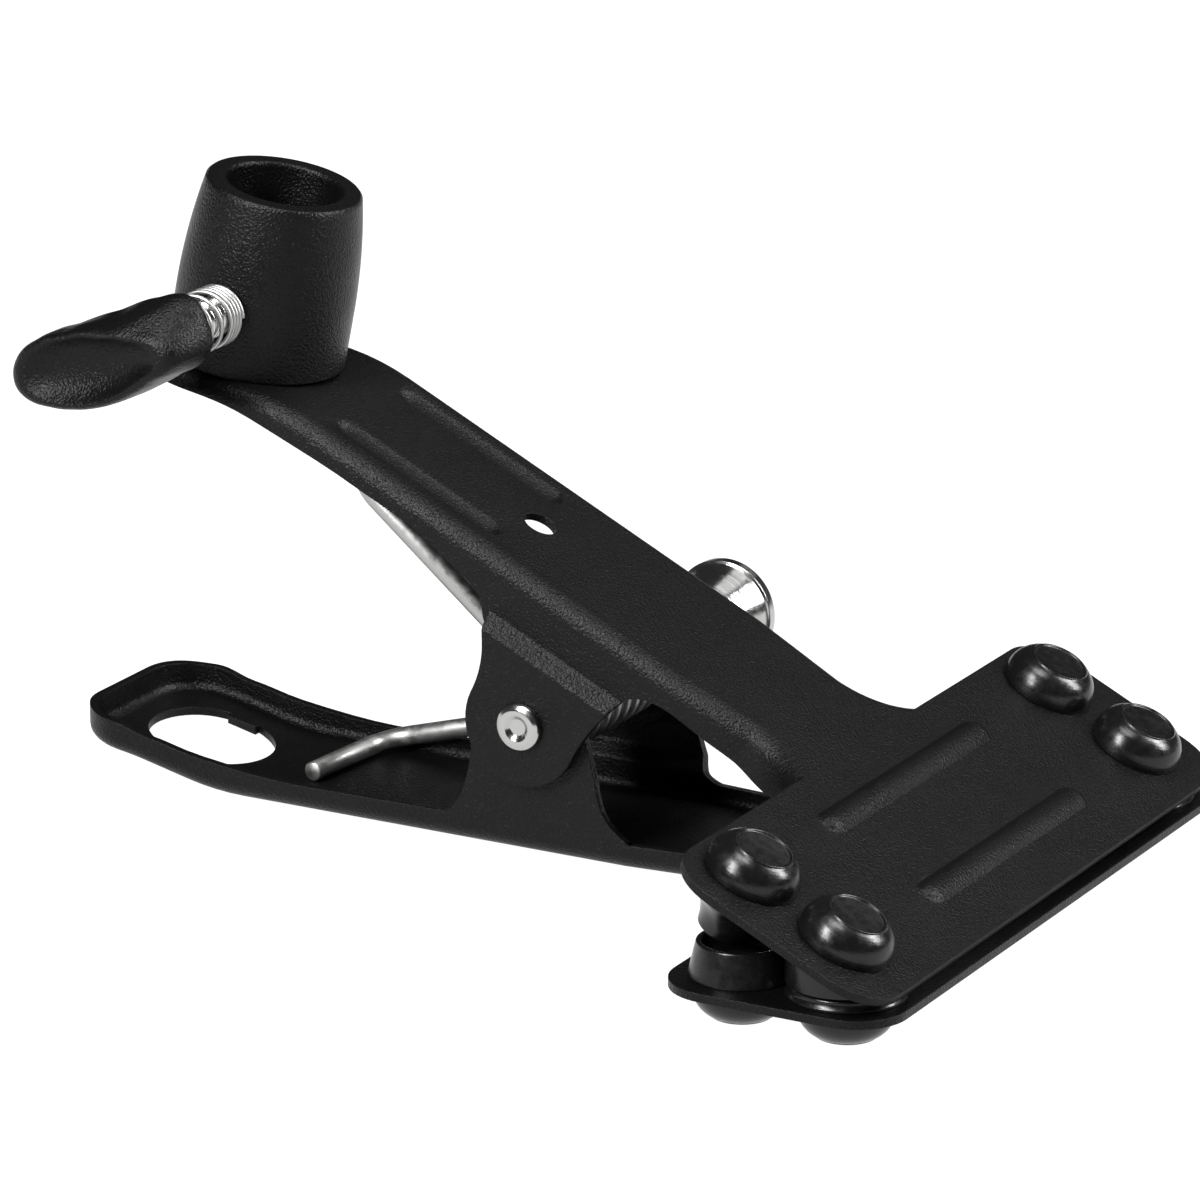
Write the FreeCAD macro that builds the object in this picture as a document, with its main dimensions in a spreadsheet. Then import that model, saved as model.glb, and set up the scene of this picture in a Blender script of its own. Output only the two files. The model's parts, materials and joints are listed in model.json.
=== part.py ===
"""Spring clamp for studio grip work: two pressed-steel arms on a pivot stud, closed by a torsion
spring, with rubber jaw pads, a 16 mm socket on the upper handle and a 16 mm stud beside the pivot.

Lengths are millimetres. The pieces are drawn about the pivot, with x towards the jaws, y along the
stud and z up, and the last section sets the whole clamp down on its lower pads and handle.
"""
import FreeCAD, Part
import math
import os
import Sketcher
from FreeCAD import Placement, Rotation, Vector

DOC = FreeCAD.newDocument("spring_clamp")
SHEET = DOC.addObject("Spreadsheet::Sheet", "Sizes")
X_AXIS = Vector(1, 0, 0)
Y_AXIS = Vector(0, 1, 0)
Z_AXIS = Vector(0, 0, 1)
PARTS = []


# ---------------------------------------------------------------- sizes

def text_of(term):
    """The expression text of a Size or a plain number."""
    return term.text if isinstance(term, Size) else f"{term:g}"


def value_of(term):
    """The number behind a Size or a plain number."""
    return term.value if isinstance(term, Size) else float(term)


class Size:
    """A length that knows both its value and the sheet expression that gives it."""

    def __init__(self, value, text):
        self.value = value
        self.text = text

    def __add__(self, other):
        return Size(self.value + value_of(other), f"({self.text} + {text_of(other)})")

    def __radd__(self, other):
        return Size(value_of(other) + self.value, f"({text_of(other)} + {self.text})")

    def __sub__(self, other):
        return Size(self.value - value_of(other), f"({self.text} - {text_of(other)})")

    def __rsub__(self, other):
        return Size(value_of(other) - self.value, f"({text_of(other)} - {self.text})")

    def __mul__(self, other):
        return Size(self.value * value_of(other), f"({self.text} * {text_of(other)})")

    __rmul__ = __mul__

    def __truediv__(self, other):
        return Size(self.value / value_of(other), f"({self.text} / {text_of(other)})")

    def __neg__(self):
        return Size(-self.value, f"(0 - {self.text})")

    def __float__(self):
        return self.value


def driving(alias, value):
    """Put a driving dimension in the sheet and return it as a Size."""
    driving.row += 1
    SHEET.set(f"A{driving.row}", alias)
    SHEET.set(f"B{driving.row}", f"{value:g}")
    SHEET.setAlias(f"B{driving.row}", alias)
    return Size(float(value), f"Sizes.{alias}")


driving.row = 0

# pressed arms; TAIL_SLOPE is the downward bend of the upper handle behind the neck
SHEET_T = driving("sheet_thickness", 1.2)
ARM_HALF = driving("handle_half_width", 15.3)
BEND_R = driving("outer_bend_radius", 2.6)
UPPER_TOP = driving("upper_plate_height", 18.85)
LOWER_BOTTOM = driving("lower_plate_depth", 19.5)
PITCH = driving("upper_arm_pitch", 26.0)
TAIL_SLOPE = 18.0
JAW_CORNER = driving("jaw_corner_radius", 7.6)
NECK_R = driving("neck_fillet_radius", 10.5)
NECK_HALF = driving("neck_half_width", 13.9)
UPPER_JAW_REAR = driving("upper_jaw_rear", 39.8)
UPPER_JAW_FRONT = driving("upper_jaw_front", 74.6)
UPPER_JAW_HALF = driving("upper_jaw_half_width", 57.6)
LOWER_JAW_REAR = driving("lower_jaw_rear", 41.2)
LOWER_JAW_FRONT = driving("lower_jaw_front", 75.8)
LOWER_JAW_HALF = driving("lower_jaw_half_width", 56.6)
JOGGLE = driving("ear_joggle", 2.0)
EAR_R = driving("ear_radius", 8.9)
UPPER_TAIL = driving("upper_tail_length", 82.1)
LOWER_TAIL = driving("lower_tail_length", 76.4)
LOWER_CORNER = driving("lower_tail_corner_radius", 8.5)
HANDLE_HOLE_X = driving("handle_hole_position", 61.2)
HANDLE_HOLE_R = driving("handle_hole_radius", 9.3)
UPPER_HOLE_X = driving("upper_hole_position", 16.3)
UPPER_HOLE_R = driving("upper_hole_radius", 2.5)

# pivot
SHANK_R = driving("pivot_shank_radius", 3.0)
PIVOT_GAP = driving("pivot_radial_gap", 0.05)
FACE_GAP = driving("face_gap", 0.05)
STUD_R = driving("stud_radius", 7.94)
STUD_END = driving("stud_end", 45.9)
SLEEVE_R = driving("sleeve_radius", 3.35)
WASHER_R = driving("ear_washer_radius", 6.5)
RIVET_R = driving("rivet_radius", 3.45)

# torsion spring
WIRE_R = driving("spring_wire_radius", 1.45)
COIL_R = driving("spring_coil_radius", 5.3)
COIL_END = driving("spring_coil_end", 12.4)

# rubber pads
PAD_Y = driving("pad_offset", 46.7)
PAD_HOLE_R = driving("pad_hole_radius", 4.0)
PAD_NECK_R = driving("pad_neck_radius", 3.95)
DOME_R = driving("pad_dome_radius", 6.75)
DOME_H = driving("pad_dome_height", 4.6)
DOME_FLAT_R = driving("pad_dome_flat_radius", 4.2)
UPPER_PAD_REAR = driving("upper_pad_rear", 48.0)
UPPER_PAD_FRONT = driving("upper_pad_front", 63.6)
LOWER_PAD_REAR = driving("lower_pad_rear", 50.2)
LOWER_PAD_FRONT = driving("lower_pad_front", 65.9)
NOSE_BASE_R = driving("pad_nose_base_radius", 7.7)

# socket and its lock
SOCKET_U = driving("socket_position", 66.45)
SOCKET_TILT = driving("socket_tilt", 14.8)
SOCKET_BORE_R = driving("socket_bore_radius", 8.12)
SOCKET_TOP_R = driving("socket_top_radius", 11.3)
SOCKET_BASE_R = driving("socket_base_radius", 12.9)
SOCKET_H = driving("socket_height", 26.25)
SOCKET_FLOOR = driving("socket_floor_height", 5.5)
LOCK_DEPTH = driving("lock_screw_depth", 16.9)
LOCK_R = driving("lock_screw_radius", 3.0)
LOCK_BORE_R = driving("lock_screw_hole_radius", 3.05)
KNOB_FACE = driving("knob_face_distance", 24.3)
KNOB_DEPTH = driving("knob_depth", 9.0)
KNOB_BOSS_R = driving("knob_boss_radius", 5.3)
KNOB_REACH = driving("knob_reach", 24.6)
KNOB_ANGLE = driving("knob_angle", 21.5)
LOCK_SPRING_R = driving("lock_spring_radius", 4.2)
LOCK_WIRE_R = driving("lock_spring_wire_radius", 0.55)

RIVET_RISE = driving("rivet_rise", 1.3)
RIVET_DIMPLE = driving("rivet_dimple", 0.55)
STUD_WAIST_R = driving("stud_waist_radius", 5.9)
STUD_WAIST_BASE = driving("stud_waist_base", 22.0)
STUD_WAIST_LOW = driving("stud_waist_low", 20.0)
STUD_WAIST_HIGH = driving("stud_waist_high", 8.0)
STUD_COLLAR = driving("stud_collar", 2.2)
STUD_SHOULDER_R = driving("stud_shoulder_radius", 7.5)
STUD_EDGE = driving("stud_edge", 0.4)
DOME_ROUND_R = driving("dome_round_radius", 5.5)
PAD_RIM = driving("pad_rim", 0.25)
NOSE_LENGTH = driving("nose_length", 8.0)
NOSE_ROUND_R = driving("nose_round_radius", 9.0)
CUP_BASE_R = driving("cup_base_radius", 7.3)
CUP_HEIGHT = driving("cup_height", 4.85)
CUP_DEPTH = driving("cup_depth", 2.2)
COLUMN_R = driving("column_radius", 7.9)
COLUMN_X = driving("column_position", 65.4)
SKIRT_R = driving("skirt_radius", 8.3)
SKIRT_H = driving("skirt_height", 1.5)
SOCKET_W = driving("socket_seat_height", 15.07)
SOCKET_SKIRT = driving("socket_skirt", 4.0)
SOCKET_SIDE_R = driving("socket_side_radius", 90.0)
SOCKET_EDGE = driving("socket_edge", 0.35)
SOCKET_MOUTH = driving("socket_mouth_chamfer", 0.55)
FIXING_R = driving("fixing_radius", 2.5)
FIXING_HEAD_R = driving("fixing_head_radius", 4.4)
FIXING_HEAD_H = driving("fixing_head_height", 2.4)
FIXING_WASHER_T = driving("fixing_washer", 0.8)
LOCK_TIP = driving("lock_tip", 8.5)
LOCK_SPRING_START = driving("lock_spring_start", 12.98)
KNOB_HALF = driving("knob_half_width", 6.3)
COLUMN_FOOT = driving("column_foot", -16.7)
REST_TILT = driving("rest_tilt", 2.83)


# ---------------------------------------------------------------- sketches and turned pieces

def new_body(label):
    """A PartDesign body that will be one piece of the clamp."""
    body = DOC.addObject("PartDesign::Body", label)
    body.Label = label
    PARTS.append(body)
    return body


def new_piece(label, shape):
    """A piece whose shape is worked out in code from the sheet's sizes."""
    piece = DOC.addObject("Part::Feature", label)
    piece.Label = label
    piece.Shape = shape
    PARTS.append(piece)
    return piece


def arc_between(start, end, radius):
    """Sketch arc of the given radius; a positive radius bulges to the right of start to end."""
    chord = end - start
    middle = (start + end) * 0.5
    left = Vector(-chord.y, chord.x, 0).normalize()
    rise = math.sqrt(radius * radius - chord.Length * chord.Length / 4)
    centre = middle + left * math.copysign(rise, radius)
    first, last = (start, end) if radius > 0 else (end, start)
    angle_1 = math.atan2(first.y - centre.y, first.x - centre.x)
    angle_2 = math.atan2(last.y - centre.y, last.x - centre.x)
    return Part.ArcOfCircle(Part.Circle(centre, Z_AXIS, abs(radius)), angle_1, angle_2)


def outline(body, name, points):
    """Closed sketch on the XZ plane through points (x, z) or (x, z, radius of the arc that follows)."""
    sketch = body.newObject("Sketcher::SketchObject", name)
    plane = next(item for item in body.Origin.OriginFeatures if item.Role == "XZ_Plane")
    sketch.AttachmentSupport = (plane, [""])
    sketch.MapMode = "FlatFace"
    count = len(points)
    spots = [Vector(value_of(point[0]), value_of(point[1]), 0) for point in points]
    ends = []
    for index, point in enumerate(points):
        start = spots[index]
        end = spots[(index + 1) % count]
        if len(point) == 3:
            radius = value_of(point[2])
            sketch.addGeometry(arc_between(start, end, radius))
            ends.append((1, 2) if radius > 0 else (2, 1))
        else:
            sketch.addGeometry(Part.LineSegment(start, end))
            ends.append((1, 2))
    for index in range(count):
        after = (index + 1) % count
        sketch.addConstraint(Sketcher.Constraint("Coincident", index, ends[index][1], after, ends[after][0]))
    for index, point in enumerate(points):
        for kind, term in (("DistanceX", point[0]), ("DistanceY", point[1])):
            rule = Sketcher.Constraint(kind, -1, 1, index, ends[index][0], value_of(term))
            number = sketch.addConstraint(rule)
            if isinstance(term, Size):
                sketch.setExpression(f"Constraints[{number}]", term.text)
        if len(point) == 3:
            number = sketch.addConstraint(Sketcher.Constraint("Radius", index, abs(value_of(point[2]))))
            if isinstance(point[2], Size):
                size = point[2] if point[2].value > 0 else -point[2]
                sketch.setExpression(f"Constraints[{number}]", size.text)
    return sketch


def turned(label, points):
    """A piece turned about its own z axis from a half section of (radius, z) points."""
    body = new_body(label)
    section = outline(body, label + "_section", points)
    turning = body.newObject("PartDesign::Revolution", label + "_turning")
    turning.Profile = section
    turning.ReferenceAxis = (section, ["V_Axis"])
    turning.Angle = 360
    return body


def ring(label, inner, outer, low, high):
    """A plain turned ring, such as a washer or a sleeve."""
    return turned(label, [(inner, low), (outer, low), (outer, high), (inner, high)])


# ---------------------------------------------------------------- frames

UPPER_FRAME = Placement(Vector(0, 0, 0), Rotation(Y_AXIS, PITCH.value))
ALONG_STUD = Placement(Vector(0, 0, 0), Rotation(Z_AXIS, Y_AXIS))


def on_upper(u, y, w):
    """Placement of a spot given in the upper arm's own frame, with its axes along that frame."""
    return UPPER_FRAME.multiply(Placement(Vector(u, y, w), Rotation()))


# ---------------------------------------------------------------- pressed arms

WALL = SHEET_T.value
HALF = ARM_HALF.value
REACH = 45.0
TAPER_START = 15.0


def side_block(bends, tail, inset):
    """Solid inside a handle's skin seen from the side, from the skin at height inset up to REACH.

    bends lists (x where the bend starts, radius of the outer skin, degrees turned towards the inside).
    """
    edges = []
    spot = Vector(70, -60, 0)
    slope = 0.0
    for start, radius, turn in bends:
        ahead = Vector(start, -60, spot.z + (spot.x - start) * math.tan(slope))
        edges.append((spot, ahead, slope, slope, 0))
        side = math.copysign(1, turn)
        centre = ahead + Vector(math.sin(slope), 0, math.cos(slope)) * (side * radius)
        after = slope + math.radians(turn)
        finish = centre - Vector(math.sin(after), 0, math.cos(after)) * (side * radius)
        edges.append((ahead, finish, slope, after, centre))
        spot = finish
        slope = after
    last = Vector(-tail - 2, -60, spot.z + (spot.x + tail + 2) * math.tan(slope))
    edges.append((spot, last, slope, slope, 0))
    wires = []
    for first, finish, slope_1, slope_2, centre in edges:
        one = first + Vector(math.sin(slope_1), 0, math.cos(slope_1)) * inset
        two = finish + Vector(math.sin(slope_2), 0, math.cos(slope_2)) * inset
        if centre:
            mean = (one + two) * 0.5 - centre
            middle = centre + mean.normalize() * (one - centre).Length
            wires.append(Part.Arc(one, middle, two).toShape())
        else:
            wires.append(Part.makeLine(one, two))
    one = wires[0].Vertexes[0].Point
    corners = [two, Vector(two.x, -60, REACH), Vector(one.x, -60, REACH), one]
    wires += [Part.makeLine(*pair) for pair in zip(corners, corners[1:])]
    return Part.Face(Part.Wire(wires)).extrude(Vector(0, 120, 0))


def handle_block(spec, inset):
    """Solid inside a handle's walls, seen from above, cut by its skin and rounded along the bend."""
    half = HALF - inset
    neck = NECK_HALF.value - inset
    flare = NECK_R.value + inset
    tail_x = inset - spec["tail"]
    corner = spec["tail_corner"] - inset
    straight = half - corner
    flare_x = spec["jaw_rear"] - NECK_R.value
    end_x = spec["jaw_rear"] + 3 + inset
    diagonal = math.sqrt(0.5)
    side = [
        Part.Arc(
            Vector(tail_x, straight, 0),
            Vector(tail_x + corner * (1 - diagonal), straight + corner * diagonal, 0),
            Vector(tail_x + corner, half, 0),
        ).toShape(),
        Part.makeLine(Vector(tail_x + corner, half, 0), Vector(TAPER_START, half, 0)),
        Part.makeLine(Vector(TAPER_START, half, 0), Vector(flare_x, neck, 0)),
        Part.Arc(
            Vector(flare_x, neck, 0),
            Vector(flare_x + flare * diagonal, neck + flare * (1 - diagonal), 0),
            Vector(flare_x + flare, neck + flare, 0),
        ).toShape(),
        Part.makeLine(Vector(flare_x + flare, neck + flare, 0), Vector(end_x, neck + flare, 0)),
        Part.makeLine(Vector(end_x, neck + flare, 0), Vector(end_x, 0, 0)),
    ]
    if straight > 0.01:
        side.append(Part.makeLine(Vector(tail_x, 0, 0), Vector(tail_x, straight, 0)))
    mirrored = [edge.mirror(Vector(0, 0, 0), Y_AXIS) for edge in side]
    plan = Part.Face(Part.Wire(Part.__sortEdges__(side + mirrored))).extrude(Vector(0, 0, REACH + 5))
    plan.translate(Vector(0, 0, -5))
    block = plan.common(side_block(spec["bends"], spec["tail"], inset))
    limit = spec["jaw_rear"] + inset + 0.5
    rounded = [edge for edge in block.Edges if on_bend(edge, limit)]
    return block.makeFillet(BEND_R.value - inset, rounded)


def on_bend(edge, limit):
    """True for the edge where a handle's skin meets its side wall."""
    spots = [edge.valueAt(edge.FirstParameter), edge.valueAt(edge.LastParameter)]
    middle = edge.valueAt((edge.FirstParameter + edge.LastParameter) / 2)
    low = max(spot.z for spot in spots) < 9.0 and middle.z < 9.0
    upright = abs(spots[0].x - spots[1].x) + abs(spots[0].y - spots[1].y) < 1e-6
    return low and not upright and abs(middle.y) > 0.5 and max(spot.x for spot in spots) < limit


def curved_prism(points, corners, y_low, y_high):
    """Prism across y between a smooth curve through (x, h) points and straight corners."""
    spots = [Vector(x, y_low, height) for x, height in points]
    spline = Part.BSplineCurve()
    spline.interpolate(spots)
    turns = [spots[-1]] + [Vector(x, y_low, height) for x, height in corners] + [spots[0]]
    edges = [spline.toShape()] + [Part.makeLine(*pair) for pair in zip(turns, turns[1:])]
    return Part.Face(Part.Wire(edges)).extrude(Vector(0, y_high - y_low, 0))


def capsule(start, end, radius):
    """Round bar with ball ends, for pressing a bead or a groove."""
    bar = Part.makeCylinder(radius, (end - start).Length, start, end - start)
    return bar.multiFuse([Part.makeSphere(radius, spot) for spot in (start, end)])


def layer(low, high):
    """Wide flat block between two heights."""
    return Part.makeBox(300, 300, high - low, Vector(-150, -150, low))


def ear_skirt(left, right, pivot, y_low, y_high):
    """Outline of an ear: two flared sides running into the round around the pivot."""
    sides = []
    for points in (left, right):
        sides.append(curved_prism(points, [(0, points[-1][1]), (0, points[0][1])], y_low, y_high))
    round_end = Part.makeCylinder(EAR_R.value, y_high - y_low, Vector(0, y_low, pivot), Y_AXIS)
    return sides[0].multiFuse([sides[1], round_end])


def pressed_arm(spec):
    """One pressed arm, drawn with its outer skin at h = 0 and its inside towards +h.

    Its joggled ear stands on the +y side and its flat ear on the -y side.
    """
    pivot = spec["pivot_height"]
    shell = handle_block(spec, 0.0).cut(handle_block(spec, WALL))
    rim_x = [point[0] for point in spec["rim"]]
    keep = curved_prism(spec["rim"], [(rim_x[-1], -9), (rim_x[0], -9)], -40, 40)
    keep = keep.fuse(layer(-5, WALL))
    arm = shell.common(keep)
    plate = Part.makeBox(
        spec["jaw_front"] - spec["jaw_rear"], 2 * spec["jaw_half"], WALL,
        Vector(spec["jaw_rear"], -spec["jaw_half"], 0))
    upright = [edge for edge in plate.Edges if abs(edge.tangentAt(edge.FirstParameter).z) > 0.9]
    arm = arm.fuse(plate.makeFillet(JAW_CORNER.value, upright))
    low, high = spec["joggle"]
    outer = HALF + JOGGLE.value
    top = pivot + 12
    section = [
        (HALF - WALL, 2 * WALL), (HALF, 2 * WALL), (HALF, low), (outer, high), (outer, top),
        (outer - WALL, top), (outer - WALL, high + WALL / 3), (HALF - WALL, low + WALL / 3),
    ]
    spots = [Vector(-40, y, height) for y, height in section]
    joggled = Part.Face(Part.makePolygon(spots + spots[:1])).extrude(Vector(80, 0, 0))
    slope_edges = [edge for edge in joggled.Edges if crosses_joggle(edge, low - 1, high + 1)]
    joggled = joggled.makeFillet(WALL * 0.8, slope_edges)
    skirt = ear_skirt(*spec["joggled_ear"], pivot, HALF - 2 * WALL, HALF + 2 * WALL)
    arm = arm.cut(skirt.common(Part.makeBox(80, 6 * WALL, REACH, Vector(-40, HALF - 3 * WALL, low))))
    ears = [joggled.common(skirt)]
    skirt = ear_skirt(*spec["flat_ear"], pivot, -HALF, WALL - HALF)
    ears.append(skirt.common(layer(WALL * 2, REACH)))
    arm = arm.multiFuse(ears)
    for x in spec["beads"]:
        ends = [Vector(x, side * (BEAD_HALF - BEAD_R), BEAD_R - BEAD_H) for side in (-1, 1)]
        arm = arm.fuse(capsule(ends[0], ends[1], BEAD_R).common(layer(-5, WALL / 2)))
        arm = arm.cut(capsule(ends[0], ends[1], BEAD_R - WALL))
    for y in spec["grooves"]:
        ends = [Vector(x, y, GROOVE_DEPTH - GROOVE_R) for x in (GROOVE_TAIL, GROOVE_FRONT)]
        arm = arm.fuse(capsule(ends[0], ends[1], GROOVE_R + WALL).common(layer(WALL / 2, REACH)))
        arm = arm.cut(capsule(ends[0], ends[1], GROOVE_R))
    tools = [Part.makeCylinder(PIVOT_HOLE_R, 60, Vector(0, -30, pivot), Y_AXIS)]
    for x in spec["pads"]:
        for side in (-1, 1):
            tools.append(Part.makeCylinder(PAD_HOLE_R.value, 8, Vector(x, side * PAD_Y.value, -4)))
    arm = arm.cut(Part.makeCompound(tools + spec["tools"]))
    return arm.removeSplitter()


def crosses_joggle(edge, low, high):
    """True for a fold line of the joggle, which runs along x."""
    spots = [vertex.Point for vertex in edge.Vertexes]
    along = abs(spots[0].x - spots[1].x) > 1
    return along and low < spots[0].z < high


def handle_hole():
    """Round hole through the lower handle with a square tab standing into it from the far side."""
    hole = Part.makeCylinder(HANDLE_HOLE_R.value, 12, Vector(-HANDLE_HOLE_X.value, 0, -3))
    tab = Part.makeBox(TAB_WIDTH, HANDLE_HOLE_R.value, 12, Vector(TAB_START, TAB_EDGE, -3))
    return hole.cut(tab)


def screw_hole():
    """Round hole square through the upper handle's tail for the socket's fixing screw."""
    slope = math.radians(TAIL_SLOPE)
    inward = Vector(math.sin(slope), 0, math.cos(slope))
    skin = Vector(-SOCKET_U.value, 0, UPPER_TOP.value - SOCKET_W.value)
    return Part.makeCylinder(FIXING_R.value + FIXING_GAP, 8, skin - inward * 4, inward)


TAB_START = -63.3
TAB_WIDTH = 4.7
TAB_EDGE = 7.9
FIXING_GAP = 0.25
BEAD_R = 2.9
BEAD_H = 1.15
BEAD_HALF = 25.5
GROOVE_R = 3.2
GROOVE_DEPTH = 1.0
GROOVE_TAIL = -45.0
GROOVE_FRONT = -20.1
PIVOT_HOLE_R = SHANK_R.value + 0.05

UPPER_EAR = (
    [(-12.2, 7.65), (-11.5, 9.6), (-10.1, 12.4), (-9.1, 15.8), (-8.9, 18.85)],
    [(11.0, 7.65), (10.5, 9.6), (9.7, 12.4), (9.05, 15.8), (8.9, 18.85)],
)
LOWER_FLAT_EAR = (
    [(-14.5, 3.9), (-12.3, 5.0), (-10.8, 7.2), (-9.7, 10.4), (-9.0, 15.0), (-8.9, 19.5)],
    [(16.3, 3.9), (13.7, 5.6), (12.0, 7.6), (10.6, 12.6), (9.4, 17.2), (8.9, 19.5)],
)
LOWER_JOGGLED_EAR = (
    [(-14.5, 3.9), (-12.6, 5.3), (-11.2, 8.0), (-9.7, 12.0), (-9.0, 15.8), (-8.9, 19.5)],
    [(17.5, 3.4), (15.0, 3.9), (13.2, 4.8), (12.0, 6.4), (11.1, 8.8), (9.6, 14.5), (8.9, 19.5)],
)

upper_spec = dict(
    bends=[(-48.5, 40.0, TAIL_SLOPE)],
    tail=UPPER_TAIL.value,
    tail_corner=ARM_HALF.value,
    jaw_rear=UPPER_JAW_REAR.value,
    jaw_front=UPPER_JAW_FRONT.value,
    jaw_half=UPPER_JAW_HALF.value,
    pivot_height=UPPER_TOP.value,
    rim=[
        (-83.0, 11.3), (-75.0, 8.9), (-68.65, 6.9), (-60.4, 4.9), (-52.0, 4.25), (-42.0, 3.8), (-34.0, 3.8),
        (-28.4, 3.8), (-23.9, 4.4), (-19.9, 5.3), (-16.0, 6.1), (-13.7, 7.7), (-12.4, 9.5), (-8.0, 9.9),
        (6.0, 9.9), (10.4, 8.4), (11.8, 6.6), (13.0, 5.7), (24.0, 5.5), (29.0, 5.9), (33.4, 6.4),
        (36.5, 5.6), (38.6, 3.8), (39.7, 1.0),
    ],
    joggle=(7.65, 9.55),
    joggled_ear=UPPER_EAR,
    flat_ear=UPPER_EAR,
    beads=(48.0, 64.9),
    grooves=(-8.96, 8.96),
    pads=(UPPER_PAD_REAR.value, UPPER_PAD_FRONT.value),
    tools=[Part.makeCylinder(UPPER_HOLE_R.value, 8, Vector(-UPPER_HOLE_X.value, 0, -4)), screw_hole()],
)
lower_spec = dict(
    bends=[(-47.5, 42.0, 13.0), (-64.5, 45.0, -16.0)],
    tail=LOWER_TAIL.value,
    tail_corner=LOWER_CORNER.value,
    jaw_rear=LOWER_JAW_REAR.value,
    jaw_front=LOWER_JAW_FRONT.value,
    jaw_half=LOWER_JAW_HALF.value,
    pivot_height=LOWER_BOTTOM.value,
    rim=[
        (-78.5, 9.4), (-76.4, 9.5), (-71.0, 8.8), (-67.6, 8.4), (-64.5, 7.4), (-61.0, 6.7), (-58.0, 6.0),
        (-51.0, 4.9), (-41.7, 4.05), (-30.0, 4.0), (0.0, 4.0), (30.0, 4.0), (35.5, 3.5), (38.8, 1.0),
    ],
    joggle=(5.0, 7.0),
    joggled_ear=LOWER_JOGGLED_EAR,
    flat_ear=LOWER_FLAT_EAR,
    beads=(),
    grooves=(),
    pads=(LOWER_PAD_REAR.value, LOWER_PAD_FRONT.value),
    tools=[handle_hole()],
)

upper_arm = new_piece("upper_arm", pressed_arm(upper_spec))
lower_arm = new_piece("lower_arm", pressed_arm(lower_spec))


# ---------------------------------------------------------------- pivot group

ear_face = ARM_HALF + JOGGLE
stud_root = ear_face + FACE_GAP
shank_hole = SHANK_R + PIVOT_GAP
head_face = -ear_face - FACE_GAP
head_out = head_face - RIVET_RISE

pivot_stud = turned("pivot_stud", [
    (0, head_out + RIVET_DIMPLE),
    (RIVET_R * 0.34, head_out + RIVET_DIMPLE),
    (RIVET_R * 0.56, head_out),
    (RIVET_R * 0.75, head_out),
    (RIVET_R, head_out + RIVET_RISE * 0.7),
    (RIVET_R, head_face),
    (SHANK_R, head_face),
    (SHANK_R, stud_root),
    (STUD_R, stud_root),
    (STUD_R, STUD_END - STUD_WAIST_BASE),
    (STUD_WAIST_R, STUD_END - STUD_WAIST_LOW),
    (STUD_WAIST_R, STUD_END - STUD_WAIST_HIGH),
    (STUD_SHOULDER_R, STUD_END - STUD_COLLAR),
    (STUD_R, STUD_END - STUD_COLLAR),
    (STUD_R, STUD_END - STUD_EDGE),
    (STUD_R - STUD_EDGE, STUD_END),
    (0, STUD_END),
])
sleeve_end = ARM_HALF - SHEET_T - FACE_GAP
pivot_sleeve = ring("pivot_sleeve", shank_hole, SLEEVE_R, -sleeve_end, sleeve_end)
washer_low = ARM_HALF + FACE_GAP
washer_high = ARM_HALF + JOGGLE - SHEET_T - FACE_GAP
near_ear_washer = ring("near_ear_washer", shank_hole, WASHER_R, -washer_high, -washer_low)
far_ear_washer = ring("far_ear_washer", shank_hole, WASHER_R, washer_low, washer_high)


# ---------------------------------------------------------------- torsion spring

JOINT_SWELL = 1.04


def swept_wire(path, start, along, radius):
    """Round wire swept along a smooth path of edges."""
    section = Part.Wire(Part.makeCircle(radius, start, along))
    return Part.Wire(path).makePipeShell([section], True, True)


def coil_about(pitch, height, radius, wire):
    """Round wire wound right-handed about z from (radius, 0, 0) upwards."""
    helix = Part.makeLongHelix(pitch, height, radius)
    along = Vector(0, 2 * math.pi * radius, pitch)
    return swept_wire(helix.Edges, Vector(radius, 0, 0), along, wire)


def bent_leg(start, corner, end, bend, radius):
    """Round wire from start to end with one rounded bend; a ball at its start covers the joint."""
    into = (corner - start).normalize()
    out = (end - corner).normalize()
    turn = math.acos(into.dot(out))
    back = bend * math.tan(turn / 2)
    bend_start = corner - into * back
    bend_end = corner + out * back
    bisector = (out - into).normalize()
    centre = corner + bisector * (bend / math.cos(turn / 2))
    middle = centre - bisector * bend
    path = [
        Part.makeLine(start, bend_start),
        Part.Arc(bend_start, middle, bend_end).toShape(),
        Part.makeLine(bend_end, end),
    ]
    return swept_wire(path, start, into, radius).fuse(Part.makeSphere(radius * JOINT_SWELL, start))


COIL_START = 50.5
COIL_TURNED = 3004.3
LEG_BEND_R = 5.5
first_out = Vector(math.cos(math.radians(COIL_START)), 0, math.sin(math.radians(COIL_START)))
last_angle = math.radians(COIL_START - COIL_TURNED)
last_out = Vector(math.cos(last_angle), 0, math.sin(last_angle))
coil_length = 2 * COIL_END.value
coil = coil_about(coil_length * 360 / COIL_TURNED, coil_length, COIL_R.value, WIRE_R.value)
coil.Placement = Placement(
    Vector(0, -COIL_END.value, 0), Rotation(first_out, Vector(), Y_AXIS, "ZXY"))
lower_leg = bent_leg(
    last_out * COIL_R.value + Vector(0, COIL_END.value, 0), Vector(-38.9, COIL_END.value, -16.75),
    Vector(-40.7, -5.9, -16.8), LEG_BEND_R, WIRE_R.value)
upper_leg = bent_leg(
    first_out * COIL_R.value - Vector(0, COIL_END.value, 0),
    UPPER_FRAME.multVec(Vector(-40.5, -COIL_END.value, 15.05)),
    UPPER_FRAME.multVec(Vector(-41.5, 6.0, 15.05)), LEG_BEND_R, WIRE_R.value)
torsion_spring = new_piece("torsion_spring", coil.multiFuse([lower_leg, upper_leg]))


# ---------------------------------------------------------------- rubber pads

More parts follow.
